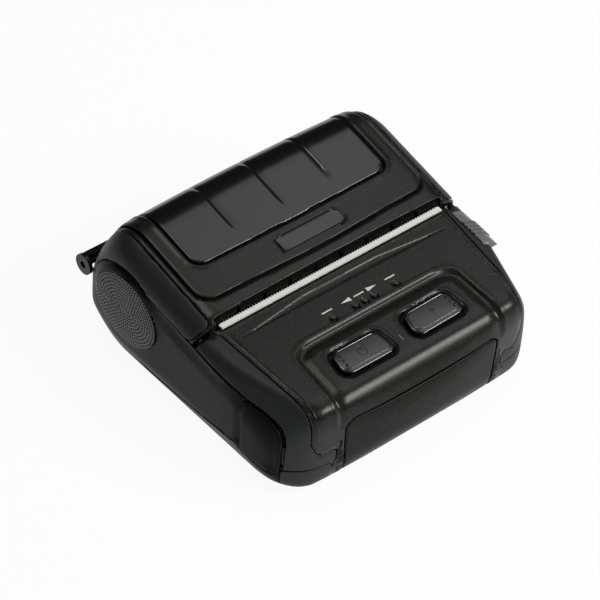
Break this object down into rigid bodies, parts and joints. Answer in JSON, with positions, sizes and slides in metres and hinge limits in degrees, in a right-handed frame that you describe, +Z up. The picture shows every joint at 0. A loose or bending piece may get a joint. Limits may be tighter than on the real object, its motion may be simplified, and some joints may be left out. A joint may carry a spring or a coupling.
{
  "type": "portable label printer",
  "caption": "Rugged belt-size thermal label printer with a hinged roll cover, sloping two-key panel, tear bar and slide-out battery.",
  "frame": {"origin": "middle of the footprint, on the plane of the feet", "axes": "+Z up, -Y towards the battery and the keys, -X towards the port cover"},
  "size_m": [0.146, 0.1459, 0.067],
  "materials": {
    "black_shell": "satin black with a fine grain",
    "lower_shell": "satin black with a fine grain",
    "rubber_skin": "matt dark slate rubber",
    "port_rubber": "matt black rubber",
    "smoked_panel": "polished smoked plastic",
    "key_plastic": "dark slate, glossy bevels",
    "lever_plastic": "light grey",
    "badge_metal": "dark brushed plate",
    "steel": "bright",
    "cast_metal": "plain die-cast",
    "brass": "plain",
    "gear_plastic": "natural acetal",
    "inner_plastic": "matt",
    "platen_rubber": "ground grey rubber",
    "ceramic": "glazed white",
    "board": "green solder mask",
    "light_pipe": "clear lens, unlit",
    "cell_wrap": "shrink wrap"
  },
  "bodies": {
    "base": {"lower_case": "lower_shell", "front_housing": "black_shell", "left_front_bumper": "rubber_skin", "right_front_bumper": "rubber_skin", "left_grille": "black_shell", "right_grille": "black_shell", "tear_bar": "steel", "rubber_feet": "rubber_skin", "case_screws": "steel", "chassis": "cast_metal", "gear_plate": "steel", "gear_pins": "steel", "head_bracket": "steel", "stepper_motor": "cast_metal", "main_board": "board", "board_screws": "steel", "key_board": "board", "dome_switches": "steel", "indicator_lights": "light_pipe", "port_sockets": "inner_plastic", "lever_pin": "steel", "latch_spring": "steel", "label_and_cover_sensors": "inner_plastic", "roll_well": "inner_plastic", "battery_contacts": "brass", "hinge_rod": "steel", "lid_springs": "steel"},
    "lid": {"lid_frame": "black_shell", "lid_pad": "black_shell", "badge_plate": "badge_metal", "lid_window": "smoked_panel", "left_lid_strip": "rubber_skin", "right_lid_strip": "rubber_skin", "exit_comb": "black_shell", "lid_liner": "inner_plastic", "lid_screws": "steel", "platen_bearings": "brass", "lid_rail": "black_shell"},
    "platen": {"platen_sleeve": "platen_rubber", "platen_shaft": "steel", "platen_gear": "gear_plastic"},
    "print_head_unit": {"print_head": "ceramic", "head_heat_sink": "cast_metal", "head_springs": "steel"},
    "motor_rotor": {"motor_pinion": "brass"},
    "idler": {"idler_gear": "gear_plastic"},
    "transfer": {"transfer_gear": "gear_plastic"},
    "power_key": {"power_button": "key_plastic"},
    "feed_key": {"feed_button": "key_plastic"},
    "port_flap": {"port_cover": "port_rubber"},
    "cover_lever": {"release_lever": "lever_plastic"},
    "latch": {"latch_shaft": "steel"},
    "battery": {"battery_face": "black_shell", "battery_case": "inner_plastic", "battery_cells": "cell_wrap", "battery_terminals": "brass"},
    "battery_catch": {"battery_latch": "inner_plastic"},
    "guide_left": {"left_guide": "inner_plastic"},
    "guide_right": {"right_guide": "inner_plastic"},
    "guide_gear": {"guide_pinion": "gear_plastic"}
  },
  "joints": [
    {"name": "lid_hinge", "type": "hinge", "parent": "base", "child": "lid", "pos_m": [0, 0.0682, 0.0302], "axis": [-1, 0, 0], "range_deg": [0, 95]},
    {"name": "latch_turn", "type": "hinge", "parent": "base", "child": "latch", "pos_m": [0, -0.006, 0.017], "axis": [1, 0, 0], "range_deg": [0, 9], "stiffness_Nm_per_rad": 0.2},
    {"name": "lever_lift", "type": "hinge", "parent": "base", "child": "cover_lever", "pos_m": [0.066, -0.0336, 0.0449], "axis": [1, 0, 0], "range_deg": [0, 18]},
    {"name": "power_press", "type": "slide", "parent": "base", "child": "power_key", "axis": [0, 0.108, -0.9942], "range_m": [0, 0.0009], "stiffness_N_per_m": 1200, "springref_m": -0.0003},
    {"name": "feed_press", "type": "slide", "parent": "base", "child": "feed_key", "axis": [0, 0.108, -0.9942], "range_m": [0, 0.0009], "stiffness_N_per_m": 1200, "springref_m": -0.0003},
    {"name": "port_cover_hinge", "type": "hinge", "parent": "base", "child": "port_flap", "pos_m": [-0.0713, -0.03885, 0.026], "axis": [0, 0, -1], "range_deg": [0, 110]},
    {"name": "battery_slide", "type": "slide", "parent": "base", "child": "battery", "axis": [0, -1, 0], "range_m": [0, 0.045]},
    {"name": "battery_catch_slide", "type": "slide", "parent": "base", "child": "battery_catch", "axis": [0, 1, 0], "range_m": [0, 0.0025], "stiffness_N_per_m": 300, "springref_m": -0.0005},
    {"name": "left_guide_slide", "type": "slide", "parent": "base", "child": "guide_left", "axis": [1, 0, 0], "range_m": [0, 0.028]},
    {"name": "right_guide_slide", "type": "slide", "parent": "base", "child": "guide_right", "axis": [-1, 0, 0], "range_m": [0, 0.028]},
    {"name": "guide_pinion_spin", "type": "hinge", "parent": "base", "child": "guide_gear", "pos_m": [0, 0.006, 0.0096], "axis": [0, 1, 0], "range_deg": [0, 450]},
    {"name": "head_pivot", "type": "hinge", "parent": "base", "child": "print_head_unit", "pos_m": [0, -0.013, 0.03], "axis": [1, 0, 0], "range_deg": [0, 2], "stiffness_Nm_per_rad": 0.2},
    {"name": "platen_spin", "type": "hinge", "parent": "lid", "child": "platen", "pos_m": [0, -0.0015, 0.042], "axis": [1, 0, 0], "continuous": true},
    {"name": "transfer_spin", "type": "hinge", "parent": "base", "child": "transfer", "pos_m": [-0.0596, -0.00583, 0.02884], "axis": [1, 0, 0], "continuous": true},
    {"name": "idler_spin", "type": "hinge", "parent": "base", "child": "idler", "pos_m": [-0.06, -0.01647, 0.03095], "axis": [1, 0, 0], "continuous": true},
    {"name": "motor_spin", "type": "hinge", "parent": "base", "child": "motor_rotor", "pos_m": [-0.06, -0.02912, 0.03095], "axis": [1, 0, 0], "continuous": true}
  ],
  "couplings": [
    {"joint": "lever_lift", "follows": "latch_turn", "ratio": 2},
    {"joint": "right_guide_slide", "follows": "left_guide_slide", "ratio": 1},
    {"joint": "guide_pinion_spin", "follows": "left_guide_slide", "rad_per_m": 277.78},
    {"joint": "transfer_spin", "follows": "platen_spin", "ratio": -1.0909},
    {"joint": "idler_spin", "follows": "platen_spin", "ratio": 1.7143},
    {"joint": "motor_spin", "follows": "platen_spin", "ratio": -4.2857}
  ]
}
